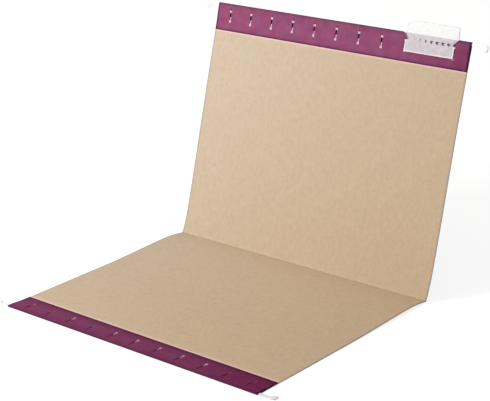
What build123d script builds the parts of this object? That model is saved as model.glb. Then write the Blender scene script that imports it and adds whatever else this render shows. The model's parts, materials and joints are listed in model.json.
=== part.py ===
from build123d import *
import os
from math import asin, cos, degrees, hypot, sin

# Hanging file folder, letter size, standing open: millimetres, +Z up.
# The origin is the middle of the front flap's underside, on the table.
# +X runs along the fold, to the right, and +Y runs from the front edge to the fold.
# Each flap is drawn flat in its own frame, whose origin is the fold's axis:
# x along the fold, y up the flap, z towards the inside of the folder.

# Board: two plies, pasted, and the angle that the flaps stand open
sheet_width = 298.5
flap_depth = 235.0
opening_angle = 107.3
cover_thickness = 0.25
liner_thickness = 0.20
paste_film = 0.03

# Fold: inner radius of the crease, and the springy bow of the board beside it
crease_radius = 0.15
crease_gap = 0.05
bow_height = 2.1
bow_crest = 25.0
bow_length = 110.0

# Hem: the cover's end, turned in over the rod and pasted to the liner
hem_depth = 27.0
hem_settle = 5.0
liner_gap = 1.7

# Slits for the tab holder, widened to a small drop at the top and a larger one below
slit_count = 11
slit_margin = 17.25
slit_setback = 6.2
slit_length = 12.6
slit_width = 0.5
slit_top_width = 1.2
slit_top_length = 1.8
slit_drop_width = 1.8
slit_drop_length = 4.4
slit_end_round = 0.6

# Rod: flat steel strip with narrow arms, and the coated tips that hook on the rails
rod_height = 4.6
rod_thickness = 0.8
rod_clearance = 0.05
rod_overhang = 17.25
arm_height = 2.8
arm_start = 2.0
arm_end_cover = 3.0
tip_length = 7.4
tip_height = 7.0
tip_wall = 0.28
tip_corner = 3.0
tip_straight = 0.6
tip_rake = 0.7
tip_nose = 1.5
tip_nose_radius = 0.5

# Tab holder: a folded plastic sheet, with ears through the slits on both sides of its middle slit
holder_slit = 9
holder_reach = 1
holder_thickness = 0.30
holder_clearance = 0.05
flange_height = 10.7
flange_seat = 1.2
ear_step = 0.4
ear_length = 4.5
ear_corner = 1.2
neck_width = 50.4
neck_rise = 1.0
pocket_shift = 1.6
shoulder_width = 57.0
shoulder_drop = 0.2
holder_top_width = 55.6
holder_rise = 11.3
left_bevel_width = 6.8
left_bevel_height = 3.0
right_bevel_width = 1.6
right_bevel_height = 1.8
pocket_space = 0.50
pocket_drop = 1.2
perforation_count = 7
perforation_pitch = 6.2
perforation_offset = 1.4
perforation_width = 2.8
perforation_height = 1.9

# Label card in the holder
label_width = 54.0
label_thickness = 0.25
label_clearance = 0.25

# Levels through the board, measured from the fold's axis towards the inside
inside_face = -crease_radius
liner_back = inside_face - liner_thickness
cover_face = liner_back - paste_film
outside_face = cover_face - cover_thickness
rod_back = cover_face + rod_clearance
hem_over_rod = rod_back + rod_thickness + rod_clearance
hem_over_liner = inside_face + paste_film
hem_face = hem_over_rod + cover_thickness
holder_back = hem_face + holder_clearance
pocket_back = holder_back + holder_thickness

# Heights up the flap, measured from the fold's axis
hem_bend_radius = (hem_over_rod - cover_face) / 2
hem_bend_centre = flap_depth - hem_bend_radius - cover_thickness
rod_top = hem_bend_centre
hem_edge = flap_depth - hem_depth
liner_top = rod_top - rod_height - hem_settle - liner_gap

# Slits along the hem, counted from 0 at the left, and the holder's depths below the flap's top edge
slit_pitch = (sheet_width - 2 * slit_margin) / (slit_count - 1)
holder_middle = (holder_slit - (slit_count - 1) / 2) * slit_pitch
flange_bottom = slit_setback + slit_length - flange_seat
flange_top = flange_bottom - flange_height
neck_drop = flange_top - neck_rise

# Bow of the board beside the fold: two arcs that end level with the flap
bow_rise_radius = hypot(bow_crest, bow_height) ** 2 / (2 * bow_height)
bow_run = bow_length - bow_crest
bow_fall_radius = hypot(bow_run, bow_height) ** 2 / (2 * bow_height) - bow_rise_radius
fold_slope = asin(bow_crest / bow_rise_radius)
fall_slope = asin(bow_run / (bow_rise_radius + bow_fall_radius))


def arc_on(line, radius, turn):
    """The arc that carries on from the end of a line, turning by that many degrees."""
    return JernArc(line @ 1, line % 1, radius, turn)


def bowed_line(level, side, end):
    """A board face at that level: two arcs beside the fold, then straight up to end. side is +1 or -1."""
    slope = side * fold_slope
    along = (cos(slope), sin(slope))
    start = (along[0] * crease_gap - along[1] * level, along[1] * crease_gap + along[0] * level)
    gap_turn = degrees(crease_gap / bow_rise_radius)
    rise_turn = degrees(fold_slope + fall_slope) - gap_turn
    rise = JernArc(start, along, bow_rise_radius + side * level, -side * rise_turn)
    fall = arc_on(rise, bow_fall_radius - side * level, side * degrees(fall_slope))
    return [rise, fall, Line(fall @ 1, (end, (fall @ 1).Y))]


def hem_line(line, outward):
    """The turn over the rod and the hem's fall to the liner, from the end of the cover's straight line."""
    bend = arc_on(line, hem_bend_radius + outward, 180)
    over_rod = Line(bend @ 1, bend @ 1 - Vector(rod_height, 0))
    drop = hem_over_rod - hem_over_liner
    settle_radius = hypot(hem_settle, drop) ** 2 / (4 * drop)
    settle_turn = degrees(asin(hem_settle / 2 / settle_radius))
    settle_out = arc_on(over_rod, settle_radius + outward, settle_turn)
    settle_in = arc_on(settle_out, settle_radius - outward, -settle_turn)
    pasted = Line(settle_in @ 1, (hem_edge, (settle_in @ 1).Y))
    return [bend, over_rod, settle_out, settle_in, pasted]


def sheet_between(first, second):
    """The solid sheet between two face lines, as wide as the folder."""
    caps = [Line(first[0] @ 0, second[0] @ 0), Line(first[-1] @ 1, second[-1] @ 1)]
    profile = make_face(first + second + caps)
    return extrude(Plane.YZ * profile, amount=sheet_width / 2, both=True)


def slit_end(width, length):
    """Widened end of a slit: a rounded foot at the origin, and sides that narrow to the slit above it."""
    foot = ThreePointArc((-width / 2, slit_end_round), (0, 0), (width / 2, slit_end_round))
    sides = Polyline(foot @ 1, (slit_width / 2, length), (-slit_width / 2, length), foot @ 0)
    return make_face([foot, sides])


def make_slit_cutter():
    """All the slits of one hem, as one cutter through the board."""
    straight = slit_length - slit_top_length - slit_drop_length
    cut = Pos(0, slit_drop_length + straight / 2) * Rectangle(slit_width, straight)
    low_end = slit_end(slit_drop_width, slit_drop_length)
    high_end = Pos(0, slit_length) * Rot(0, 0, 180) * slit_end(slit_top_width, slit_top_length)
    slit = Pos(0, flap_depth - slit_setback - slit_length) * (cut + low_end + high_end)
    row = Sketch() + [place * slit for place in GridLocations(slit_pitch, 0, slit_count, 1)]
    return extrude(row, amount=hem_face - outside_face, both=True)


def make_cover(side, slits):
    """Cover ply with its hem, cut by the slits."""
    inner = bowed_line(cover_face, side, hem_bend_centre)
    outer = bowed_line(outside_face, side, hem_bend_centre)
    inner += hem_line(inner[-1], 0)
    outer += hem_line(outer[-1], cover_thickness)
    return sheet_between(inner, outer) - slits


def make_liner(side, slits):
    """Liner ply, from the fold to under the hem."""
    front = bowed_line(inside_face, side, liner_top)
    back = bowed_line(liner_back, side, liner_top)
    return sheet_between(front, back) - slits


def make_rod():
    """Flat strip in the hem, with its narrow arms out of both ends."""
    strip_length = sheet_width - 2 * arm_start
    arms_length = sheet_width + 2 * (rod_overhang - arm_end_cover)
    strip = Pos(0, rod_top - rod_height / 2) * Rectangle(strip_length, rod_height)
    arms = Pos(0, rod_top - arm_height / 2) * Rectangle(arms_length, arm_height)
    return Pos(0, 0, rod_back) * extrude(strip + arms, amount=rod_thickness)


def make_tip(rod):
    """Coated tip on the arm at the +x end, with its nose turned down behind the rail."""
    outer_end = sheet_width / 2 + rod_overhang
    inner_end = outer_end - tip_length
    top = rod_top + tip_wall
    nose = (outer_end - tip_rake, top - tip_height)
    outline = Polyline(
        (inner_end, top),
        (outer_end, top),
        (outer_end, top - tip_corner - tip_straight),
        nose,
        (nose[0] - tip_nose, nose[1]),
        (inner_end, rod_top - arm_height - tip_wall),
        close=True,
    )
    face = make_face(outline)
    face = fillet(face.vertices().group_by(Axis.Y)[0], tip_nose_radius)
    face = fillet(face.vertices().group_by(Axis.X)[-1].sort_by(Axis.Y)[-1], tip_corner)
    block = Pos(0, 0, rod_back - tip_wall) * extrude(face, amount=rod_thickness + 2 * tip_wall)
    return block - rod


def bevelled_top(left, right, top):
    """Corners of a bevelled top, from the right side to the left: the left bevel is the long one."""
    return [
        (right, top - right_bevel_height),
        (right - right_bevel_width, top),
        (left + left_bevel_width, top),
        (left, top - left_bevel_height),
    ]


def holder_outline():
    """Outline of the holder's back sheet: flange, neck, and a pocket with shoulders and a bevelled top."""
    half_flange = holder_reach * slit_pitch + holder_thickness / 2
    flange = [(half_flange, -flange_bottom), (half_flange, -flange_top), (neck_width / 2, -neck_drop)]
    right_shoulder = (pocket_shift + shoulder_width / 2, -shoulder_drop)
    left_shoulder = (pocket_shift - shoulder_width / 2, -shoulder_drop)
    half_top = holder_top_width / 2
    top = bevelled_top(pocket_shift - half_top, pocket_shift + half_top, holder_rise)
    other_side = [(-x, y) for x, y in reversed(flange)]
    return make_face(Polyline(*flange, right_shoulder, *top, left_shoulder, *other_side, close=True))


def make_holder():
    """Folded plastic holder: flange with ears behind the board, and a pocket open at both ends."""
    outline = holder_outline()
    teeth = GridLocations(perforation_pitch, 0, perforation_count, 1)
    tooth = make_face(
        Polyline(
            (-perforation_width / 2, perforation_height / 2),
            (perforation_width / 2, perforation_height / 2),
            (0, -perforation_height / 2),
            close=True,
        )
    )
    sheet = outline - [Pos(perforation_offset, -neck_drop) * place * tooth for place in teeth]
    back = Pos(0, 0, holder_back) * extrude(sheet, amount=holder_thickness)

    # Pocket: a flattened tube, trimmed to the outline
    tube_height = holder_rise + pocket_drop
    tube_depth = pocket_space + 2 * holder_thickness
    middle = (holder_rise - pocket_drop) / 2, holder_back + tube_depth / 2
    bore = Rectangle(tube_height - 2 * holder_thickness, pocket_space)
    tube = Pos(*middle) * (Rectangle(tube_height, tube_depth) - bore)
    tube = Pos(pocket_shift) * extrude(Plane.YZ * tube, amount=shoulder_width / 2, both=True)
    prism = Pos(0, 0, holder_back) * extrude(outline, amount=tube_depth)
    holder = back + (tube & prism)

    # Ears: a leg through each slit, and a rounded ear behind the board
    ear_back = outside_face - holder_clearance - holder_thickness
    leg_depth = holder_back + holder_thickness - ear_back
    ear_middle = -(flange_bottom + flange_top) / 2
    ear_height = flange_height - 2 * ear_step
    for way in (-1, 1):
        slit_x = way * holder_reach * slit_pitch
        leg = Pos(slit_x, ear_middle, ear_back) * Box(
            holder_thickness, ear_height, leg_depth, align=(Align.CENTER, Align.CENTER, Align.MIN)
        )
        ear = Pos(slit_x + way * ear_length / 2, ear_middle) * Rectangle(ear_length, ear_height)
        ear = fillet(ear.vertices().group_by(Axis.X)[way // 2], ear_corner)
        holder += leg + Pos(0, 0, ear_back) * extrude(ear, amount=holder_thickness)
    return Pos(holder_middle, flap_depth) * holder


def make_label():
    """Card in the pocket, standing just clear of its walls."""
    low = -pocket_drop + holder_thickness + label_clearance
    high = holder_rise - holder_thickness - label_clearance
    level = pocket_back + (pocket_space - label_thickness) / 2
    left, right = pocket_shift - label_width / 2, pocket_shift + label_width / 2
    card = make_face(Polyline((left, low), (right, low), *bevelled_top(left, right, high), close=True))
    return Pos(holder_middle, flap_depth, level) * extrude(card, amount=label_thickness)


def make_crease():
    """Bent board at the fold, between the flaps' edges, round about the fold's axis."""
    gap_turn = degrees(crease_gap / -outside_face)
    low = -90 - degrees(fold_slope) + gap_turn
    turn = 180 - opening_angle - 2 * gap_turn
    inner = CenterArc((0, 0), -inside_face, low, turn)
    outer = CenterArc((0, 0), -outside_face, low, turn)
    ends = [Line(inner @ 0, outer @ 0), Line(inner @ 1, outer @ 1)]
    return extrude(Plane.YZ * make_face([inner, outer] + ends), amount=sheet_width / 2, both=True)


# Places of the two flaps: both turn about the fold's axis, which lies just above the table
fold_axis = Pos(0, flap_depth / 2, -outside_face)
front_place = fold_axis * Rot(0, 0, 180)
back_place = fold_axis * Rot(180 - opening_angle, 0, 0)

slits = make_slit_cutter()
rod = make_rod()
right_tip = make_tip(rod)
left_tip = mirror(right_tip, about=Plane.YZ)

parts = {
    "front_cover": front_place * make_cover(1, slits),
    "front_liner": front_place * make_liner(1, slits),
    "front_rod": front_place * rod,
    "front_hook_right": front_place * left_tip,
    "front_hook_left": front_place * right_tip,
    "fold_crease": fold_axis * make_crease(),
    "back_cover": back_place * make_cover(-1, slits),
    "back_liner": back_place * make_liner(-1, slits),
    "back_rod": back_place * rod,
    "back_hook_right": back_place * right_tip,
    "back_hook_left": back_place * left_tip,
    "tab_holder": back_place * make_holder(),
    "tab_label": back_place * make_label(),
}

os.makedirs("parts", exist_ok=True)
for name, part in parts.items():
    export_step(part, f"parts/{name}.step")
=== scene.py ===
import bpy
import json
import numpy as np
from collections import namedtuple
from math import cos, pi, radians, sin
from mathutils import Matrix, Vector


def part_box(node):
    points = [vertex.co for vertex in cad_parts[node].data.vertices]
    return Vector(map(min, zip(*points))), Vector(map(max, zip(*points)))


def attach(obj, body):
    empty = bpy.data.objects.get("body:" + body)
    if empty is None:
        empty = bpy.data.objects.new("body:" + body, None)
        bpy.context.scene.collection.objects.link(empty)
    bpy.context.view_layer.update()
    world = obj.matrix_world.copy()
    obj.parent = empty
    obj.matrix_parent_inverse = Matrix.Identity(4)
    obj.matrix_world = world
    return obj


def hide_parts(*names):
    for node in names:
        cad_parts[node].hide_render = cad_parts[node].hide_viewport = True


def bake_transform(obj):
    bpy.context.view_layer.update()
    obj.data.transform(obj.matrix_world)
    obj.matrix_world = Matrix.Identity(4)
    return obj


# Hanging file folder, standing open: metres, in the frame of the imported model.
# Each flap has its own coordinates: x along the fold, v up the flap from the fold's axis,
# and w from that axis towards the inside of the folder.
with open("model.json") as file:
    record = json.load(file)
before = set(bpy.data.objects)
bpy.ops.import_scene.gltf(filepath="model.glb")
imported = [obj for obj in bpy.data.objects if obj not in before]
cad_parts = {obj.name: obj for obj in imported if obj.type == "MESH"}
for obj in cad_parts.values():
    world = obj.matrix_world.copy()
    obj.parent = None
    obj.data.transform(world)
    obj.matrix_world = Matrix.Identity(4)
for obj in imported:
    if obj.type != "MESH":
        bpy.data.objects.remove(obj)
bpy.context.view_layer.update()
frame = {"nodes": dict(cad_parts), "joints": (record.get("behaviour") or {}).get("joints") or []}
mm = 0.001

# Sizes that the frame gives
joints = {joint["name"]: joint for joint in frame["joints"]}
fold_axis = np.array(joints["fold"]["pos_m"])
back_rise = -radians(joints["fold"]["range_deg"][0])
sheet_low, sheet_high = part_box("front_cover")
half_width = (sheet_high.x - sheet_low.x) / 2
flap_depth = fold_axis[1] - sheet_low.y
holder_low, holder_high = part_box("tab_holder")
holder_middle = (holder_low.x + holder_high.x) / 2

# Levels through the board
inside_face = -0.15 * mm
liner_thickness = 0.20 * mm
cover_face = -0.38 * mm
cover_thickness = 0.25 * mm
outside_face = cover_face - cover_thickness
hem_over_rod = 0.52 * mm
hem_over_liner = -0.12 * mm

# Heights up the flap, from the turn over the rod down to the hem's edge
rod_height = 4.6 * mm
hem_ease = 15 * mm
hem_width = 27 * mm
liner_setback = 12 * mm
hem_bend_radius = (hem_over_rod - cover_face) / 2
hem_bend_middle = (hem_over_rod + cover_face) / 2
rod_top = flap_depth - hem_bend_radius - cover_thickness
rod_foot = rod_top - rod_height
hem_landing = rod_foot - hem_ease
hem_edge = flap_depth - hem_width
liner_top = flap_depth - liner_setback

# Slits in the hems: their places, and half the opening and the lips' width at steps up a slit
slit_count = 11
slit_margin = 17.25 * mm
slit_setback = 6.2 * mm
slit_length = 12.6 * mm
slit_pitch = 2 * (half_width - slit_margin) / (slit_count - 1)
slit_high = flap_depth - slit_setback
slit_low = slit_high - slit_length
slit_places = (np.arange(slit_count) - (slit_count - 1) / 2) * slit_pitch
slit_steps = np.array([
    0, 0.4, 0.8, 1.4, 2.6, 4.2, 5.2, 9.9, 10.4, 11.1, 11.9, 12.4, 12.6
]) * mm
slit_opening = np.array([
    0, 0.10, 0.20, 0.25, 0.18, 0.05, 0.02, 0.02, 0.20, 0.30, 0.30, 0.20, 0
]) * mm
slit_lips = np.array([
    0.45, 0.70, 0.75, 0.70, 0.50, 0.38, 0.70, 0.70, 0.55, 0.62, 0.62, 0.55, 0.50
]) * mm

# Half the opening of a shut slit, how far up its two pale lips go, and the grid beside it
closed_slit = 0.01 * mm
left_lip_tail = 2.6 * mm
right_lip_tail = 5.2 * mm
slit_room = 2.4 * mm
slit_clear = 3 * mm

# Painted sheen on the outside of the board, where 0 is the deep dye and 1 the full painted sheen,
# and the raw edge of the hem
outside_sheen = 0.45
raw_edge = 0.3 * mm

# Bow of the board beside the fold, and how far the flaps' plies end from the fold's axis
bow_crest = 25 * mm
bow_height = 2.1 * mm
crease_gap = 0.03 * mm

# Slow waves of the board: their height, where they start, and how far they take to grow
wave_height = 0.10 * mm
wave_start = 8 * mm
wave_fade = 60 * mm

# What differs between the two flaps
Flap = namedtuple("Flap", [
    "name",
    "body",
    "along",
    "inward",
    "side",
    "bow_length",
    "glue_width",
    "edge_width",
    "crease_tones",
    "hole_tone",
    "slits_open",
    "rubbed",
])
front = Flap(
    "front",
    "front_flap",
    along=(0, -1, 0),
    inward=(0, 0, 1),
    side=1,
    bow_length=110 * mm,
    glue_width=2.6 * mm,
    edge_width=2.5 * mm,
    # painted shade along the fold, fading out over 5 mm
    crease_tones=(-1, -1, -0.7, -0.3, 0),
    # painted shade round the holes at the tops of the slits
    hole_tone=-0.6,
    slits_open=(0.16, 0.1, 0.3, 0.1, 0.33, 0.36, 0.3, 0.33, 0.36, 0.1, 0.1),
    # painted sheen along the hem at its left, middle and right: faint on the flat flap
    rubbed=(0.28, 0.20, 0.0),
)
back = Flap(
    "back",
    "back_flap",
    along=(0, cos(back_rise), sin(back_rise)),
    inward=(0, -sin(back_rise), cos(back_rise)),
    side=-1,
    bow_length=200 * mm,
    glue_width=1.3 * mm,
    edge_width=1.0 * mm,
    # painted highlight along the fold, fading out over 5 mm
    crease_tones=(0.2, 1, 1, 0.2, 0),
    # painted light round the holes at the tops of the slits, near white where light shows through
    hole_tone=2.0,
    slits_open=(1.0, 0.85, 1.0, 0.95, 1.05, 1.0, 0.95, 1.0, 0.3, 0.1, 0.3),
    # painted sheen along the hem at its left, middle and right: strong where the standing flap faces
    # the lamp
    rubbed=(1.0, 0.95, 0.55),
)


# Meshes from arrays


def make_piece(name, points, faces, uv=None, **attributes):
    """Object from a point array and lists of point numbers, with a UV map and point attributes."""
    mesh = bpy.data.meshes.new(name)
    mesh.from_pydata(points.reshape(-1, 3).tolist(), [], faces)
    if uv is not None:
        corner = np.zeros(len(mesh.loops), np.int32)
        mesh.loops.foreach_get("vertex_index", corner)
        layer = mesh.uv_layers.new(name="UVMap")
        layer.data.foreach_set("uv", uv.reshape(-1, 2)[corner].astype(np.float32).ravel())
    for key, value in attributes.items():
        layer = mesh.attributes.new(key, "FLOAT", "POINT")
        layer.data.foreach_set("value", value.astype(np.float32).ravel())
    mesh.polygons.foreach_set("use_smooth", np.ones(len(mesh.polygons), bool))
    mesh.update()
    piece = bpy.data.objects.new(name, mesh)
    bpy.context.scene.collection.objects.link(piece)
    return piece


def grid_faces(rows, columns, keep=None, flip=False, wrap=False, first=0):
    """Quads between the rows and columns of a grid, whose first point has the number first.

    keep leaves some quads out, and wrap joins the last row to the first.
    """
    index = first + np.arange(rows * columns).reshape(rows, columns)
    if wrap:
        index = np.vstack([index, index[:1]])
    quads = np.stack([index[:-1, :-1], index[:-1, 1:], index[1:, 1:], index[1:, :-1]], -1)
    quads = quads[keep] if keep is not None else quads.reshape(-1, 4)
    return (quads[:, ::-1] if flip else quads).tolist()


def thicken(piece, thickness, offset=-1):
    """Gives a sheet its thickness, with the cut edges in the second material slot."""
    solid = piece.modifiers.new("thickness", "SOLIDIFY")
    solid.thickness = thickness
    solid.offset = offset
    solid.material_offset_rim = 1


def finish_piece(piece, body, materials, slot, *nodes):
    """Gives a piece its materials and its body, and hides the nodes that it stands for; slot is not
    used.
    """
    for material in materials:
        piece.data.materials.append(material)
    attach(piece, body)
    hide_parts(*nodes)


# The board's shape


def smooth(share):
    """Share held between 0 and 1 and eased at both: three of its squares less two of its cubes."""
    share = np.clip(share, 0, 1)
    return share**2 * (3 - 2 * share)


def bow(flap, v):
    """Bow beside the fold, and its slope: a parabola up to the crest, then a cubic ease to level."""
    height = flap.side * bow_height
    far_side = flap.bow_length - bow_crest
    rise = 1 - np.clip(v / bow_crest, 0, 1)
    ease = np.clip((v - bow_crest) / far_side, 0, 1)
    near = v < bow_crest
    shape = np.where(near, 1 - rise**2, smooth(1 - ease))
    slope = np.where(near, 2 * rise / bow_crest, -6 * ease * (1 - ease) / far_side)
    return height * shape, height * slope


def unevenness(flap, x, v):
    """Slow waves of the board: two crossed sines that die out towards the fold and the hem."""
    fade = np.clip((v - wave_start) / wave_fade, 0, 1) * np.clip((hem_edge - v) / wave_fade, 0, 1)
    rising = np.sin(x / (31 * mm) + v / (47 * mm) + flap.side)
    falling = np.sin(x / (-53 * mm) + v / (26 * mm))
    return wave_height * fade * (rising + falling)


def on_flap(flap, x, v, w):
    """Points of a flap from its coordinates: the axis, v steps along the flap, w steps inward."""
    along, inward = np.array(flap.along), np.array(flap.inward)
    points = fold_axis + v[..., None] * along + w[..., None] * inward
    points[..., 0] = x
    return points


def board_face(flap, x, v, level):
    """Face of the board at a level: it follows the bow, and stands off along the bow's normal."""
    height, slope = bow(flap, v)
    return on_flap(flap, x, v - level * slope, level + height + unevenness(flap, x, v))


# Slits and the grids of the sheets

# A column up to this many lips' widths off a cut carries the cut's tone
lip_reach = 1.2


def slit_profile(v):
    """Half the opening of a slit at v, and its lips' width: a drop, a shut cut and a round hole."""
    up = v - slit_low
    return np.interp(up, slit_steps, slit_opening), np.interp(up, slit_steps, slit_lips)


def slit_rows():
    """Heights of the grid's rows across a slit, and up the crease above it."""
    between = np.array([-0.2, 3.4, 6.2, 7.5, 12.9, 14.0, 14.4]) * mm
    return slit_low + np.concatenate([slit_steps, between])


def slit_tone(flap, v, tail):
    """Tone of a slit's lip at v, straight between set places up the slit.

    It is 1 on the pale core from the drop up to tail, lightened as painted light, and -1, painted
    shade, where the slit is shut;
    round the hole at the top it takes the flap's painted hole tone, and above that a painted shade
    line fades out.
    """
    hole = flap.hole_tone
    places = np.array([0, 0.4, 0, 1, 9.9, 10.4, 11.9, 12.4, 12.9, 14.0, 14.4]) * mm
    places[2:4] += tail
    return np.interp(v - slit_low, places, [0, 1, 1, -1, -1, hole, hole, -0.8, -0.8, -0.4, 0])


def cut_columns(plain, places):
    """Grid columns with a cut at each place, three columns on each side of a cut.

    Returns each column's middle, the side of the cut that it follows, or 0,
    and how many lips' widths it lies off the cut.
    """
    side = np.tile([-1, -1, -1, 1, 1, 1], len(places))
    away = np.tile([1.5, 1.0, 0.0, 0.0, 1.0, 1.5], len(places))
    middle = np.concatenate([plain, np.repeat(places, 6)])
    order = np.argsort(middle, kind="stable")
    return middle[order], np.append(0 * plain, side)[order], np.append(0 * plain, away)[order]


def sheet_columns():
    """Grid columns across a sheet, closer by its ends and beside the slits."""
    plain = np.linspace(-half_width, half_width, 47)
    plain = plain[np.abs(plain[:, None] - slit_places).min(1) > slit_clear]
    ends = half_width - np.array([0.5, 1.0, 1.5, 2.2, 3.0]) * mm
    beside = np.concatenate([slit_places - slit_room, slit_places + slit_room])
    return cut_columns(np.concatenate([plain, ends, -ends, beside]), slit_places)


def sheet_grid(flap, v):
    """x and slit tone of every grid point for rows at v, and the quads that are not in a slit.

    A slit's opening is its profile times how far it is open, and a pale lip fades as it shuts.
    """
    middle, side, away = sheet_columns()
    openness = np.interp(middle, slit_places, flap.slits_open)
    opening, lips = slit_profile(v)
    opening = np.maximum(opening[:, None] * openness, closed_slit)
    x = middle + side * (opening + away * lips[:, None])
    left_lip = slit_tone(flap, v, left_lip_tail)[:, None]
    right_lip = slit_tone(flap, v, right_lip_tail)[:, None]
    tone = np.where(side < 0, left_lip, right_lip) * ((side != 0) & (away < lip_reach))
    tone = np.where(tone > 0, tone * np.clip(2.5 * openness - 0.2, 0, 1), tone)
    in_slit = (v >= slit_low - closed_slit) & (v <= slit_high + closed_slit)
    gap_rows = in_slit[:-1] & in_slit[1:]
    gap_columns = (side[:-1] < 0) & (side[1:] > 0)
    return x, tone, ~(gap_rows[:, None] & gap_columns)


def panel_rows(top):
    """Heights of the rows of a flap's panel, from the fold up to top."""
    fine = np.array([0.4, 1.2, 2.5]) * mm
    coarse = np.arange(5, 206, 5) * mm
    near_hem = hem_edge - np.array([3.6, 2.4, 1.6, 1.0, 0.5, 0]) * mm
    rows = np.concatenate([[crease_gap], fine, coarse, near_hem, slit_rows(), [top]])
    return np.unique(rows[rows <= top])


def hem_rows():
    """Heights of the rows of a hem, from the top of the rod down to the hem's edge."""
    over_rod = [rod_top, rod_top - 2 * mm, rod_foot, hem_landing + 3 * mm, hem_landing]
    near_edge = hem_edge + np.array([4, 2.5, 1.2, 0.5, 0]) * mm
    return np.unique(np.concatenate([over_rod, slit_rows(), near_edge]))[::-1]


def hem_levels(v):
    """Outer level of the hem: over the rod, easing down to the liner, and flat to its edge."""
    ease = smooth((v - hem_landing) / hem_ease)
    return hem_over_liner + (hem_over_rod - hem_over_liner) * ease + cover_thickness


def end_tone(x, reach, fade):
    """1 within reach of the sheet's two ends, then straight down to 0 over fade."""
    return np.clip(1 - (half_width - np.abs(x) - reach) / fade, 0, 1)


# Plies of the board


def cover_border(flap, x, v, distance):
    """Painted shade at the cover's two ends and over the top of the turn, and a darker band fading
    off the hem's edge.
    """
    left_share, edge_share, top_share, top_fade = 0.7, 0.85, 0.7, 1.3 * mm
    ends = end_tone(x, 1.1 * mm, 1.9 * mm) * np.where(x < 0, left_share, 1.0)
    edge = np.clip(1.3 * np.exp(-distance / flap.edge_width), 0, edge_share)
    top = top_share * np.exp(-np.abs(v - flap_depth) / top_fade)
    return np.maximum.reduce([ends, edge, top])


def cover_sheet(flap, materials):
    """Cover ply: the panel's outside face, a half circle over the rod, the hem down to its edge."""
    panel = panel_rows(rod_top)
    turn = np.linspace(-pi / 2, pi / 2, 13)[1:-1]
    hem = hem_rows()
    radius = hem_bend_radius + cover_thickness
    v = np.concatenate([panel, rod_top + radius * np.cos(turn), hem])
    x, tone, keep = sheet_grid(flap, v)
    v = v[:, None] + 0 * x
    turned = np.concatenate([hem_bend_middle + radius * np.sin(turn), hem_levels(hem)])
    rows = len(panel)
    points = np.concatenate([
        board_face(flap, x[:rows], v[:rows], outside_face),
        on_flap(flap, x[rows:], v[rows:], turned[:, None] + 0 * x[rows:]),
    ])
    over_turn = rod_top + radius * (turn + pi / 2)
    down_hem = rod_top + radius * pi + rod_top - hem
    travel = np.concatenate([panel, over_turn, down_hem])[:, None] + 0 * x
    distance = travel[-1] - travel
    on_hem = np.arange(len(x))[:, None] >= len(x) - len(hem)
    # Painted sheen on the hem, straight between its left, middle and right levels; the outside gets
    # a constant share
    rubbed = np.interp(x, np.array([-1, 0.4, 1]) * half_width, flap.rubbed)
    piece = make_piece(
        f"{flap.name}_cover_sheet",
        points,
        grid_faces(*x.shape, keep, flip=flap.side < 0),
        np.stack([x, travel], -1),
        border=cover_border(flap, x, v, distance),
        raw=np.where(distance < raw_edge, 1.0, np.clip(tone, 0, 1)),
        tone=tone,
        haze=np.where(on_hem, rubbed, outside_sheen),
    )
    thicken(piece, cover_thickness)
    finish_piece(piece, flap.body, materials, "burgundy_paper", f"{flap.name}_cover")


def liner_sheet(flap, materials):
    """Liner ply: the board's inside face, from the fold to under the hem."""
    v = panel_rows(liner_top)
    x, _, keep = sheet_grid(flap, v)
    v = v[:, None] + 0 * x
    # Painted light and shade along the fold, set at these heights from its axis
    crease_places = np.array([0, 0.4, 1.2, 2.5, 5]) * mm
    piece = make_piece(
        f"{flap.name}_liner_sheet",
        board_face(flap, x, v, inside_face),
        grid_faces(*x.shape, keep, flip=flap.side > 0),
        np.stack([x, v * flap.side], -1),
        bleed=np.clip(1.5 - (hem_edge - v) / flap.glue_width, 0, 1),
        crease=np.interp(v, crease_places, flap.crease_tones),
        border=end_tone(x, 0.7 * mm, 1.3 * mm),
    )
    thicken(piece, liner_thickness)
    finish_piece(piece, flap.body, materials, "kraft_paper", f"{flap.name}_liner")


def crease_strip(name, inner, outer, material, slot, *nodes):
    """Bent board at the fold: a ring sector round its axis, between the two flaps' slopes."""
    x = np.linspace(-half_width, half_width, 61)
    slope = np.arctan(2 * bow_height / bow_crest)
    start, end = -pi / 2 - slope, back_rise - pi / 2 - slope
    angle = np.linspace(start, end, 9)
    angle = np.concatenate([angle, angle[::-1]])[:, None] + 0 * x
    radius = np.repeat([outer, inner], len(angle) // 2)[:, None]
    y = fold_axis[1] + radius * np.cos(angle)
    z = fold_axis[2] + radius * np.sin(angle)
    ring = np.arange(len(angle)) * len(x)
    faces = grid_faces(*angle.shape, wrap=True, flip=True)
    faces += [ring[::-1].tolist(), (ring + len(x) - 1).tolist()]
    uv = np.stack([x + 0 * angle, radius * angle], -1)
    piece = make_piece(name, np.stack([x + 0 * angle, y, z], -1), faces, uv)
    piece.data.materials.append(material)
    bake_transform(piece)
    if nodes:
        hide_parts(*nodes)


# Hook tips: a coat round the end of the rod, with a blunt nose that hooks down

tip_wall = 0.28 * mm
tip_arm = 2.8 * mm
tip_height = 7 * mm
tip_straight = 3.6 * mm
tip_rake = 0.7 * mm
tip_nose = 1.5 * mm
tip_half = 0.68 * mm
tip_corner_radii = np.array([0.5, 0.9, 0.5, 0.6, 1.5, 3.0]) * mm
tip_shares = np.array([0.0, 0.3, 0.6, 0.8, 0.88, 0.94, 0.98, 1.0])


def unit(vectors):
    """Vectors over their own lengths."""
    return vectors / np.linalg.norm(vectors, axis=-1, keepdims=True)


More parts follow.
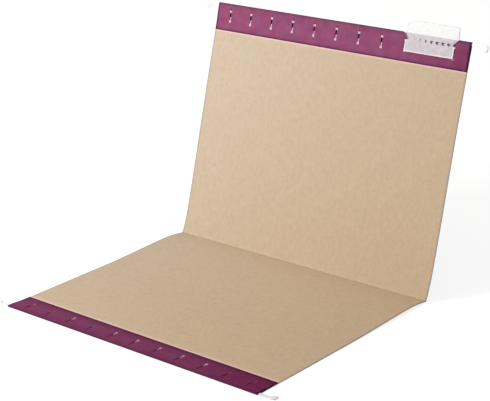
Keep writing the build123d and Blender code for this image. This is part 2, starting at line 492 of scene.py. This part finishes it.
def rounded_outline(corners, radii, steps=9):
    """Closed outline round a convex polygon, with an arc of the given radius at each corner.

    A spoke is the arc's first and last, each weighted by the sine of its share of the sweep.
    """
    corners = np.array(corners)
    radii = radii[:, None]
    back_way = unit(np.roll(corners, 1, 0) - corners)
    on_way = unit(np.roll(corners, -1, 0) - corners)
    half = np.arccos((back_way * on_way).sum(1, keepdims=True)) / 2
    centre = corners + unit(back_way + on_way) * radii / np.sin(half)
    first = corners + back_way * radii / np.tan(half) - centre
    last = corners + on_way * radii / np.tan(half) - centre
    sweep = (pi - 2 * half)[:, None]
    share = np.linspace(0, 1, steps)[:, None]
    arcs = np.sin((1 - share) * sweep) * first[:, None] + np.sin(share * sweep) * last[:, None]
    return (centre[:, None] + arcs / np.sin(sweep)).reshape(-1, 2)


def capped_rings(rings, columns, flip):
    """Quads between closed rings of points, and a fan to a pole at each end; poles come last."""
    ring = np.arange(rings * columns).reshape(rings, columns)
    after = np.roll(ring, -1, 1)
    pole = np.full(columns, rings * columns)
    quads = np.stack([ring[:-1], after[:-1], after[1:], ring[1:]], -1).reshape(-1, 4)
    first = np.stack([after[0], ring[0], pole], -1)
    last = np.stack([ring[-1], after[-1], pole + 1], -1)
    step = -1 if flip else 1
    return [face for group in (quads, first, last) for face in group[:, ::step].tolist()]


def hook_tip(flap, side, material):
    """Coated tip: its outline drawn in towards its middle, thick by a superellipse of the share.

    The lift is half the thickness times the cube root of 1 less the share's sixth power.
    """
    low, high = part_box(f"{flap.name}_hook_{side}")
    way = -1 if side == "left" else 1
    outer_end, inner_end = (high.x, low.x) if way > 0 else (-low.x, -high.x)
    top = rod_top + tip_wall
    nose = top - tip_height
    outline = rounded_outline(
        [
            (inner_end, top),
            (inner_end, rod_top - tip_arm - tip_wall),
            (outer_end - tip_rake - tip_nose, nose),
            (outer_end - tip_rake, nose),
            (outer_end, top - tip_straight),
            (outer_end, top),
        ],
        tip_corner_radii,
    )
    share = np.append(tip_shares, tip_shares[-2::-1])
    over = np.sign(len(tip_shares) - 1 - np.arange(len(share)))
    level = hem_bend_middle + over * tip_half * (1 - share**6) ** (1 / 3)
    middle = outline.mean(0)
    flat = middle + share[1:-1, None, None] * (outline - middle)
    x, v = flat[..., 0], flat[..., 1]
    rings = on_flap(flap, way * x, v, level[1:-1, None] + 0 * x)
    poles = on_flap(flap, way * middle[0], np.full(2, middle[1]), level[[0, -1]])
    points = np.concatenate([rings.reshape(-1, 3), poles])
    faces = capped_rings(*x.shape, flip=way * flap.side < 0)
    piece = make_piece(f"{flap.name}_hook_{side}_tip", points, faces)
    finish_piece(piece, flap.body, [material], "tip_coating", f"{flap.name}_hook_{side}")


# Tab holder: levels off the flap, heights above its top edge, and half widths up the two sides

holder_thickness = 0.30 * mm
holder_back = 0.97 * mm
holder_front = 1.77 * mm
holder_fold = (holder_front - holder_back) / 2
holder_rise = 11.3 * mm
left_bevel = 8.3 * mm
right_bevel = 9.5 * mm
shoulder = -0.2 * mm
pocket_foot = -1.05 * mm
neck = -5.9 * mm
flange_top = -6.9 * mm
flange_foot = -17.6 * mm
left_half_widths = np.array([26.55, 26.55, 24.2, 28.3, 26.4, 19.4]) * mm
right_half_widths = np.array([26.55, 26.55, 24.7, 30.3, 29.3, 27.8]) * mm
neck_half = 25.2 * mm

# Teeth cut along the neck, where the holder bends
tooth_count = 7
tooth_pitch = 6.2 * mm
tooth_offset = 1.4 * mm
tooth_rise = 2.4 * mm
tooth_half = 1.3 * mm
tooth_lip = 0.6 * mm
tooth_clear = 2.7 * mm

# Ears that go through two slits and lie behind the board
ear_half = 4.95 * mm
ear_clearance = 0.2 * mm


def holder_sides(y):
    """Left and right edge at y, straight between the outline's corners.

    The corners are the flange's foot and top, the neck, the shoulder, and the bevel's foot and top.
    """
    low = [flange_foot, flange_top, neck, shoulder]
    left = np.interp(y, low + [left_bevel, holder_rise], left_half_widths)
    right = np.interp(y, low + [right_bevel, holder_rise], right_half_widths)
    return -left, right


def holder_rows():
    """Rows of the folded sheet: up the back, over the top, down the front, in at the pocket's foot.

    Returns their heights and levels, and how many are on the back. The folds are circular arcs.
    """
    flange = flange_foot + np.array([0, 0.4, 1, 2, 4, 6, 8.5]) * mm
    teeth = neck + np.array([-0.65, -0.5, 0.0, 0.5, 0.65]) * tooth_rise
    above_neck = np.array([-4, -2.5, -1.2]) * mm
    wall = np.append(shoulder, np.array([2, 4, 6, 8.3, 9.5, 10.2]) * mm)
    up = np.concatenate([flange, teeth, above_neck, wall])
    turn = np.linspace(-pi / 2, pi / 2, 9)
    over = holder_rise - holder_fold - holder_thickness / 2 + holder_fold * np.cos(turn)
    foot_turn = np.linspace(pi / 2, 0, 5)
    foot = pocket_foot + holder_fold - holder_fold * np.cos(foot_turn)
    y = np.concatenate([up, over, wall[::-1], foot, [pocket_foot]])
    w = np.concatenate([
        np.full(len(up), holder_back),
        holder_back + holder_fold * (1 + np.sin(turn)),
        np.full(len(wall), holder_front),
        holder_front - holder_fold + holder_fold * np.sin(foot_turn),
        [holder_back + holder_thickness],
    ])
    return y, w, len(up)


def holder_columns():
    """Grid columns across the holder, as shares from -1 to 1, closer by its sides and teeth."""
    tooth_places = tooth_offset + (np.arange(tooth_count) - (tooth_count - 1) / 2) * tooth_pitch
    ends = np.array([0.0, 0.008, 0.02, 0.05])
    between = np.linspace(-0.9, 0.9, 15)
    between = between[np.abs(between[:, None] * neck_half - tooth_places).min(1) > tooth_clear]
    return cut_columns(np.concatenate([-1 + ends, 1 - ends, between]), tooth_places / neck_half)


def holder_sheet():
    """Folded sheet of the holder: its rows carried across x between its sides, less the teeth.

    A tooth opens from a point below to its full width above, by a reach that grows to the right.
    Returns points in the flap's coordinates, their edge, cut and pocket tones, the cut tone being
    painted shade on the teeth's lips and the waist's sides, and the quads kept.
    """
    y, w, back_rows = holder_rows()
    column, side, away = holder_columns()
    on_back = (np.arange(len(y)) < back_rows)[:, None]
    y, w = y[:, None], w[:, None]
    left, right = holder_sides(y)
    reach = np.interp(column, [-0.7, -0.3, 0.15], [0.1, 0.35, 1.0])
    tooth = np.interp(y - neck, [-tooth_rise / 2, tooth_rise / 2], [0, tooth_half], 0, 0)
    opening = np.maximum(np.where(on_back, tooth, 0) * reach, closed_slit)
    lip = tooth_lip * (0.4 + 0.6 * reach)
    x = (left + right) / 2 + column * (right - left) / 2 + side * (opening + away * lip)
    in_tooth = on_back & (np.abs(y - neck) < 0.55 * tooth_rise)
    keep = ~(in_tooth[:-1] & in_tooth[1:] & (side[:-1] < 0) & (side[1:] > 0))
    rim_fade, foot_fade, waist_fade = 0.9 * mm, 1.2 * mm, 0.75 * mm
    near_side = np.minimum(x - left, right - x)
    rim = 1.3 * np.exp(-np.minimum(near_side, y - flange_foot) / rim_fade)
    foot = 0.6 * np.exp(-np.abs(y - pocket_foot) / foot_fade)
    # Painted shade on the teeth's lips, growing to the right, and at the sides of the waist
    teeth = in_tooth & (side != 0) & (away < lip_reach)
    waist_heights = [neck - 1.3 * mm, neck - 0.8 * mm, -1.2 * mm, shoulder]
    waist_shade = np.where(on_back, np.interp(y, waist_heights, [0, 1, 1, 0]), 0)
    waist_shade = 1.8 * waist_shade * np.exp(-near_side / waist_fade)
    tones = [np.maximum(rim, foot), np.maximum(teeth * reach, waist_shade), 1 + y / mm + 0 * x]
    points = np.stack([x, flap_depth + y + 0 * x, w + 0 * x], -1)
    return points, np.clip(np.stack(tones, -1), 0, 1), keep


def holder_ear(way):
    """Ear: a path in x and w, from the flange through its slit to behind the board, wide along v.

    Its height narrows at its end, to round it. Returns points and tones as the sheet does.
    """
    behind = outside_face - ear_clearance
    path_x = np.array([0, 0, 0, 0.1, 0.3, 1.5, 3.2, 3.9, 4.3, 4.5]) * mm
    through = [holder_back - 0.12 * mm, 0.1 * mm, behind + 0.3 * mm, behind + 0.1 * mm]
    path_w = np.append(through, np.full(6, behind))
    half = np.append(np.full(7, ear_half), np.array([4.7, 4.3, 3.8]) * mm)
    share = np.linspace(-1, 1, 7)
    x = way * (slit_pitch + path_x)[:, None] + 0 * share
    v = flap_depth + (flange_foot + flange_top) / 2 + half[:, None] * share
    w = path_w[:, None] + 0 * share
    edge = np.where(np.abs(share) > 0.99, 1.0, 0.0) + 0 * x
    return np.stack([x, v, w], -1), np.stack([edge, 0 * edge, 0 * edge], -1)


def tab_holder(materials):
    """Plastic holder: the folded sheet, and an ear through the slit at each end of its flange."""
    sheet, sheet_tones, keep = holder_sheet()
    faces = grid_faces(*sheet.shape[:2], keep, flip=True)
    points, tones = [sheet.reshape(-1, 3)], [sheet_tones.reshape(-1, 3)]
    for way in (-1, 1):
        ear, ear_tones = holder_ear(way)
        faces += grid_faces(*ear.shape[:2], flip=way < 0, first=sum(map(len, points)))
        points.append(ear.reshape(-1, 3))
        tones.append(ear_tones.reshape(-1, 3))
    x, v, w = np.concatenate(points).T
    edge, cut, pocket = np.concatenate(tones).T
    piece = make_piece(
        "tab_holder_plastic",
        on_flap(back, holder_middle + x, v, w),
        faces,
        np.stack([x, v], -1),
        edge=edge,
        cut=cut,
        pocket=pocket,
    )
    thicken(piece, holder_thickness, offset=0)
    finish_piece(piece, "back_flap", materials, "clear_plastic", "tab_holder")


# Materials


def new_material(name, **sockets):
    """A material with its shader's own sockets set; returns it, its node tree and the shader."""
    material = bpy.data.materials.new(name)
    material.use_nodes = True
    tree = material.node_tree
    shader = tree.nodes["Principled BSDF"]
    for key, value in sockets.items():
        shader.inputs[key.replace("_", " ")].default_value = value
    return material, tree, shader


def add(tree, kind, inputs=None, **settings):
    """A node of that kind, with settings, constants and links to its inputs by name or number."""
    node = tree.nodes.new("ShaderNode" + kind)
    for key, value in settings.items():
        setattr(node, key, value)
    for key, value in (inputs or {}).items():
        if isinstance(value, bpy.types.NodeSocket):
            tree.links.new(value, node.inputs[key])
        else:
            node.inputs[key].default_value = value
    return node


def mix(tree, share, first, second, blend="MIX"):
    """Colour between first and second by share; a written colour is red, green and blue."""
    first, second = [(*c, 1) if isinstance(c, tuple) else c for c in (first, second)]
    node = add(tree, "Mix", {0: share, 6: first, 7: second}, data_type="RGBA", blend_type=blend)
    return node.outputs[2]


def maths(tree, operation, first, second):
    """Result of one operation on two values."""
    return add(tree, "Math", {0: first, 1: second}, operation=operation).outputs[0]


def scaled(tree, value, share):
    """Value times share."""
    return maths(tree, "MULTIPLY", value, share)


def ramp(tree, value, low, high):
    """0 at low, 1 at high, straight between and level beyond."""
    node = add(tree, "MapRange", {"Value": value, "From Min": low, "From Max": high})
    return node.outputs["Result"]


def millimetres(tree, source, scale=(1, 1, 1)):
    """Texture coordinates in millimetres, stretched by scale."""
    coordinates = add(tree, "TexCoord").outputs[source]
    mapping = add(tree, "Mapping", {"Vector": coordinates, "Scale": [s / mm for s in scale]})
    return mapping.outputs["Vector"]


def noise(tree, vector, scale, detail=2.0, roughness=0.5):
    """Noise with scale waves in each millimetre."""
    inputs = {"Vector": vector, "Scale": scale, "Detail": detail, "Roughness": roughness}
    return add(tree, "TexNoise", inputs).outputs["Fac"]


def attribute(tree, name):
    """Value that the piece's points carry under that name."""
    return add(tree, "Attribute", attribute_name=name).outputs["Fac"]


def set_colour(tree, shader, colour):
    """Gives the shader its base colour."""
    tree.links.new(colour, shader.inputs["Base Color"])


def set_bump(tree, shader, height, strength, distance):
    """Gives the shader a bump from height, as deep as distance."""
    bump = add(tree, "Bump", {"Height": height, "Strength": strength, "Distance": distance})
    tree.links.new(bump.outputs["Normal"], shader.inputs["Normal"])


def kraft_board():
    """Kraft paper: cloudy tan with crossed fibres and flecks, with a painted tint of light and
    shade: paler and cooler towards the standing flap's top left, yellower towards the front right.

    It is pale by the hem's glue line, has a painted highlight along the fold on the standing flap
    and painted shade along it on the flat flap, and is dark at its ends.
    """
    material, tree, shader = new_material("kraft_board", Roughness=0.82, Specular_IOR_Level=0.2)
    plain = millimetres(tree, "UV")
    clouds = ramp(tree, noise(tree, plain, 0.07, 4.0), 0.3, 0.7)
    hue = noise(tree, plain, 0.16, 2.0)
    across = noise(tree, millimetres(tree, "UV", (0.25, 2.0, 1)), 0.6, 3.0)
    upward = noise(tree, millimetres(tree, "UV", (2.0, 0.25, 1)), 0.6, 3.0)
    fibres = noise(tree, millimetres(tree, "UV", (1.0, 0.6, 1)), 0.28, 3.0, 0.6)
    pale_fibres = scaled(tree, ramp(tree, fibres, 0.50, 0.72), 0.32)
    dark_fibres = scaled(tree, ramp(tree, fibres, 0.48, 0.28), 0.32)
    grain = noise(tree, plain, 1.3, 3.0)
    colour = mix(tree, clouds, (0.622, 0.477, 0.337), (0.660, 0.513, 0.369))
    colour = mix(tree, ramp(tree, hue, 0.45, 0.65), colour, (0.628, 0.503, 0.342))
    colour = mix(tree, ramp(tree, hue, 0.50, 0.30), colour, (0.666, 0.494, 0.366))
    colour = mix(tree, ramp(tree, across, 0.60, 0.75), colour, (0.555, 0.402, 0.272))
    colour = mix(tree, ramp(tree, upward, 0.62, 0.80), colour, (0.755, 0.588, 0.433))
    colour = mix(tree, pale_fibres, colour, (0.745, 0.590, 0.440))
    colour = mix(tree, dark_fibres, colour, (0.550, 0.400, 0.272))
    colour = mix(tree, ramp(tree, grain, 0.69, 0.79), colour, (0.466, 0.324, 0.216))
    # Painted tint of light and shade: cooler where the light falls strongly, yellower where it is
    # weak
    per_millimetre = (1 / 150, 1 / 280, 0)
    slope = add(tree, "VectorMath", {0: plain, 1: per_millimetre}, operation="DOT_PRODUCT")
    painted_lit_tint = mix(tree, 1.0, colour, (1.0, 1.03, 1.075), "MULTIPLY")
    painted_shade_tint = mix(tree, 1.0, colour, (1.0, 0.965, 0.905), "MULTIPLY")
    colour = mix(tree, ramp(tree, slope.outputs["Value"], -1.4, 1.1), painted_lit_tint, painted_shade_tint)
    glue = scaled(tree, attribute(tree, "bleed"), 0.85)
    colour = mix(tree, glue, colour, (0.92, 0.60, 0.58))
    # Painted highlight and painted shade along the fold, broken up by noise
    broken = ramp(tree, noise(tree, plain, 0.10, 3.0), 0.35, 0.60)
    crease = scaled(tree, attribute(tree, "crease"), broken)
    crease_highlight = scaled(tree, ramp(tree, crease, 0, 1), 0.40)
    crease_shade = scaled(tree, ramp(tree, crease, 0, -1), 0.45)
    colour = mix(tree, crease_highlight, colour, (0.80, 0.62, 0.455))
    colour = mix(tree, crease_shade, colour, (0.40, 0.278, 0.172))
    # Darker and greyer within a few millimetres of the liner's ends
    rubbed = scaled(tree, attribute(tree, "border"), 0.7)
    colour = mix(tree, rubbed, colour, (0.40, 0.355, 0.29))
    set_colour(tree, shader, colour)
    set_bump(tree, shader, maths(tree, "ADD", across, upward), 0.25, 0.05 * mm)
    return material


def kraft_edge():
    """Cut edge of the kraft liner: greyer and darker, with loose fibres."""
    material, tree, shader = new_material("kraft_edge", Roughness=0.9, Specular_IOR_Level=0.2)
    fibres = noise(tree, millimetres(tree, "Object"), 2.0, 3.0)
    set_colour(tree, shader, mix(tree, fibres, (0.30, 0.25, 0.18), (0.50, 0.42, 0.31)))
    return material


def burgundy_board():
    """Dyed paper: deep burgundy, mottled and faintly laid, lightened by a painted sheen as its haze
    rises.

    It carries painted shade at the folder's ends and over the turn, and is darker along the hem's
    edge.
    The lips of the slits are a pale core lightened as painted light, and painted shade where a slit
    is shut.
    """
    material, tree, shader = new_material("burgundy_board", Specular_IOR_Level=0.04)
    plain = millimetres(tree, "UV")
    clouds = ramp(tree, noise(tree, plain, 0.09, 3.0), 0.3, 0.7)
    hue = ramp(tree, noise(tree, plain, 0.05, 2.0), 0.35, 0.65)
    grain = noise(tree, plain, 0.9, 4.0, 0.6)
    laid = noise(tree, millimetres(tree, "UV", (0.12, 1.0, 1)), 0.9, 3.0)
    pale_grain = scaled(tree, ramp(tree, grain, 0.55, 0.80), 0.6)
    dark_lines = scaled(tree, ramp(tree, laid, 0.58, 0.78), 0.35)
    deep = mix(tree, clouds, (0.130, 0.005, 0.068), (0.162, 0.011, 0.087))
    # Lit copy of the dye, mixed in by the haze: painted sheen
    painted_sheen = mix(tree, clouds, (0.250, 0.064, 0.152), (0.310, 0.098, 0.198))
    colour = mix(tree, attribute(tree, "haze"), deep, painted_sheen)
    warm = mix(tree, 1.0, colour, (1.12, 0.90, 0.94), "MULTIPLY")
    colour = mix(tree, hue, colour, warm)
    colour = mix(tree, pale_grain, colour, (0.32, 0.078, 0.194))
    colour = mix(tree, dark_lines, colour, (0.10, 0.008, 0.045))
    # Painted shade at the ends and over the turn, and darker along the hem's edge
    border_darkening = scaled(tree, attribute(tree, "border"), 0.95)
    colour = mix(tree, border_darkening, colour, (0.025, 0.004, 0.012))
    # Lips of the slits: pale core lightened as painted light, near white as painted light round the
    # standing flap's holes, and painted shade where a slit is shut
    tone = attribute(tree, "tone")
    colour = mix(tree, ramp(tree, tone, 0, 1), colour, (0.98, 0.72, 0.85))
    colour = mix(tree, ramp(tree, tone, 1, 2), colour, (0.99, 0.93, 0.97))
    colour = mix(tree, ramp(tree, tone, 0, -1), colour, (0.012, 0.002, 0.007))
    set_colour(tree, shader, colour)
    tree.links.new(ramp(tree, grain, -0.5, 1.7), shader.inputs["Roughness"])
    set_bump(tree, shader, grain, 0.15, 0.04 * mm)
    return material


def burgundy_edge():
    """Cut edge of the cover: pale core at the hem's edge and on the slits' pale lips; elsewhere, as
    at the folder's ends and in shut slits, painted near black as shade.
    """
    material, tree, shader = new_material("burgundy_edge", Roughness=0.9, Specular_IOR_Level=0.2)
    fibres = noise(tree, millimetres(tree, "Object"), 2.5, 3.0)
    pale = mix(tree, fibres, (0.78, 0.54, 0.64), (0.92, 0.74, 0.80))
    # Painted shade: the near-black of the rims
    dark = mix(tree, fibres, (0.016, 0.004, 0.010), (0.050, 0.012, 0.03))
    set_colour(tree, shader, mix(tree, attribute(tree, "raw"), dark, pale))
    return material


def coated_steel():
    """Steel strip under a thin white coat, with faint drawn lines."""
    material, tree, shader = new_material("coated_steel", Roughness=0.38)
    lines = noise(tree, millimetres(tree, "Object", (0.05, 3.0, 3.0)), 1.0, 2.0)
    set_colour(tree, shader, mix(tree, lines, (0.90, 0.90, 0.90), (0.95, 0.95, 0.95)))
    set_bump(tree, shader, lines, 0.1, 0.02 * mm)
    return material


def white_coating():
    """Dipped tips: smooth white coat, slightly uneven."""
    material, tree, shader = new_material("white_coating", Roughness=0.3)
    flow = noise(tree, millimetres(tree, "Object"), 0.5, 2.0)
    set_colour(tree, shader, mix(tree, flow, (0.91, 0.91, 0.92), (0.95, 0.95, 0.95)))
    set_bump(tree, shader, flow, 0.3, 0.05 * mm)
    return material


def milky_plastic():
    """Thin plastic sheet: milky and see-through, clouded by moulding, dense at its edges, and
    painted dark and dense as shade round its cuts.
    """
    material, tree, shader = new_material("milky_plastic", Roughness=0.22, IOR=1.49)
    haze = noise(tree, millimetres(tree, "UV"), 0.15, 1.0)
    edge = attribute(tree, "edge")
    cut = attribute(tree, "cut")
    colour = mix(tree, haze, (0.94, 0.92, 0.97), (0.96, 0.945, 0.985))
    colour = mix(tree, attribute(tree, "pocket"), colour, (0.97, 0.965, 0.975))
    colour = mix(tree, edge, colour, (0.98, 0.93, 0.965))
    # Painted shade round the teeth and at the waist's sides, made opaque
    colour = mix(tree, cut, colour, (0.07, 0.05, 0.07))
    set_colour(tree, shader, colour)
    dense = maths(tree, "MAXIMUM", edge, cut)
    alpha = maths(tree, "MAXIMUM", ramp(tree, haze, -1.5, 4.3), dense)
    tree.links.new(alpha, shader.inputs["Alpha"])
    return material


def plastic_edge():
    """Cut edge of the plastic: dense with light, grey round the pocket, and painted dark as shade in
    the cuts.
    """
    material, tree, shader = new_material("plastic_edge", Roughness=0.3, IOR=1.49)
    marks = noise(tree, millimetres(tree, "Object"), 0.8, 2.0)
    grey = mix(tree, marks, (0.56, 0.56, 0.58), (0.72, 0.72, 0.74))
    colour = mix(tree, attribute(tree, "pocket"), (0.96, 0.90, 0.94), grey)
    # Painted shade in the cuts
    colour = mix(tree, attribute(tree, "cut"), colour, (0.05, 0.04, 0.05))
    set_colour(tree, shader, colour)
    return material


def label_card():
    """White card with a fine tooth."""
    material, tree, shader = new_material("label_card", Roughness=0.7, Specular_IOR_Level=0.3)
    tooth = noise(tree, millimetres(tree, "Object"), 1.5, 3.0)
    set_colour(tree, shader, mix(tree, tooth, (0.95, 0.95, 0.95), (0.98, 0.98, 0.98)))
    set_bump(tree, shader, tooth, 0.1, 0.02 * mm)
    return material


def dress(node, material):
    """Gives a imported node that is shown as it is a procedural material."""
    slots = frame["nodes"][node].data.materials
    slots.clear()
    slots.append(material)


# The pieces

kraft, kraft_cut = kraft_board(), kraft_edge()
burgundy, burgundy_cut = burgundy_board(), burgundy_edge()
coating, steel = white_coating(), coated_steel()
for flap in (front, back):
    cover_sheet(flap, [burgundy, burgundy_cut])
    liner_sheet(flap, [kraft, kraft_cut])
    dress(f"{flap.name}_rod", steel)
    for side in ("left", "right"):
        hook_tip(flap, side, coating)
crease_strip("crease_cover", -cover_face, -outside_face, burgundy, "burgundy_paper", "fold_crease")
crease_strip("crease_liner", -inside_face, -inside_face + liner_thickness, kraft, "kraft_paper")
tab_holder([milky_plastic(), plastic_edge()])
dress("tab_label", label_card())


# Studio: pale floor, soft light from the upper left, and a white background

floor_reach = 8.0
floor_drop = 0.4 * mm
hollow_reach = 240 * mm
hollow_ease = 60 * mm


def seen_directly(tree):
    """1 for rays from the camera, gloss or plastic, 0 for the light that falls on the folder."""
    path = add(tree, "LightPath").outputs
    sharp = maths(tree, "MAXIMUM", path["Is Glossy Ray"], path["Is Transmission Ray"])
    return maths(tree, "MAXIMUM", path["Is Camera Ray"], sharp)


def make_floor():
    """Pale floor just under the folder: white where it is open, a little darker in its shadow.

    Behind the fold it is hollow by the back flap's own bow, eased out at both sides,
    so that the bowed flap lies on it when the folder is opened flat.
    """
    across = np.linspace(-hollow_reach, hollow_reach, 33)
    behind = np.linspace(0, hollow_reach, 49)
    x = np.concatenate([[-floor_reach], across, [floor_reach]])
    v = np.concatenate([[-floor_reach], behind, [floor_reach]])[:, None] + 0 * x
    hollow = bow(back, v)[0] * smooth((hollow_reach - np.abs(x)) / hollow_ease)
    points = np.stack([x + 0 * v, fold_axis[1] + v, hollow - floor_drop], -1)
    floor = make_piece("floor", points, grid_faces(*v.shape))
    material, tree, shader = new_material(
        "floor_white", Roughness=0.9, Specular_IOR_Level=0.0, Emission_Color=(1, 1, 1, 1)
    )
    seen = seen_directly(tree)
    set_colour(tree, shader, mix(tree, seen, (0.90, 0.90, 0.90), (0.42, 0.42, 0.42)))
    tree.links.new(scaled(tree, seen, 0.80), shader.inputs["Emission Strength"])
    floor.data.materials.append(material)


def make_world():
    """Soft, slightly warm light all round; what is seen of it is plain white."""
    world = bpy.data.worlds.new("studio")
    world.use_nodes = True
    tree = world.node_tree
    background = tree.nodes["Background"]
    seen = seen_directly(tree)
    tree.links.new(mix(tree, seen, (1.0, 0.985, 0.955), (1, 1, 1)), background.inputs["Color"])
    strength = add(tree, "MapRange", {"Value": seen, "To Min": 0.40, "To Max": 1.0})
    tree.links.new(strength.outputs["Result"], background.inputs["Strength"])
    bpy.context.scene.world = world


def make_lamp(name, place, aim, size, power):
    """Square soft lamp that faces aim."""
    light = bpy.data.lights.new(name, "AREA")
    light.size = size
    light.energy = power
    lamp = bpy.data.objects.new(name, light)
    lamp.location = place
    lamp.rotation_euler = (Vector(aim) - Vector(place)).to_track_quat("-Z", "Y").to_euler()
    bpy.context.scene.collection.objects.link(lamp)


def make_camera():
    """Camera at the photograph's angle; its focal length is in pixels of the 490 wide frame."""
    picture_width, focal = 490, 1607.9
    azimuth, elevation, roll = radians(41.282), radians(19.577), radians(-1.906)
    target = Vector((12.15, 31.64, 93.2)) * mm
    distance = 1440.7 * mm
    away = Vector((sin(azimuth) * cos(elevation), -cos(azimuth) * cos(elevation), sin(elevation)))
    level = Vector((cos(azimuth), sin(azimuth), 0))
    upright = away.cross(level)
    right = cos(roll) * level + sin(roll) * upright
    up = -sin(roll) * level + cos(roll) * upright
    data = bpy.data.cameras.new("camera")
    data.sensor_width = 36
    data.lens = focal / picture_width * data.sensor_width
    data.clip_start, data.clip_end = 0.05, 50
    camera = bpy.data.objects.new("camera", data)
    place = target + away * distance
    camera.matrix_world = Matrix([
        (right.x, up.x, away.x, place.x),
        (right.y, up.y, away.y, place.y),
        (right.z, up.z, away.z, place.z),
        (0, 0, 0, 1),
    ])
    bpy.context.scene.collection.objects.link(camera)
    bpy.context.scene.camera = camera


make_floor()
make_world()
make_lamp("key", place=(-0.60, -0.72, 0.72), aim=(0, 0.10, 0.09), size=0.5, power=9.6)
make_camera()
bpy.context.scene.view_settings.view_transform = "Standard"
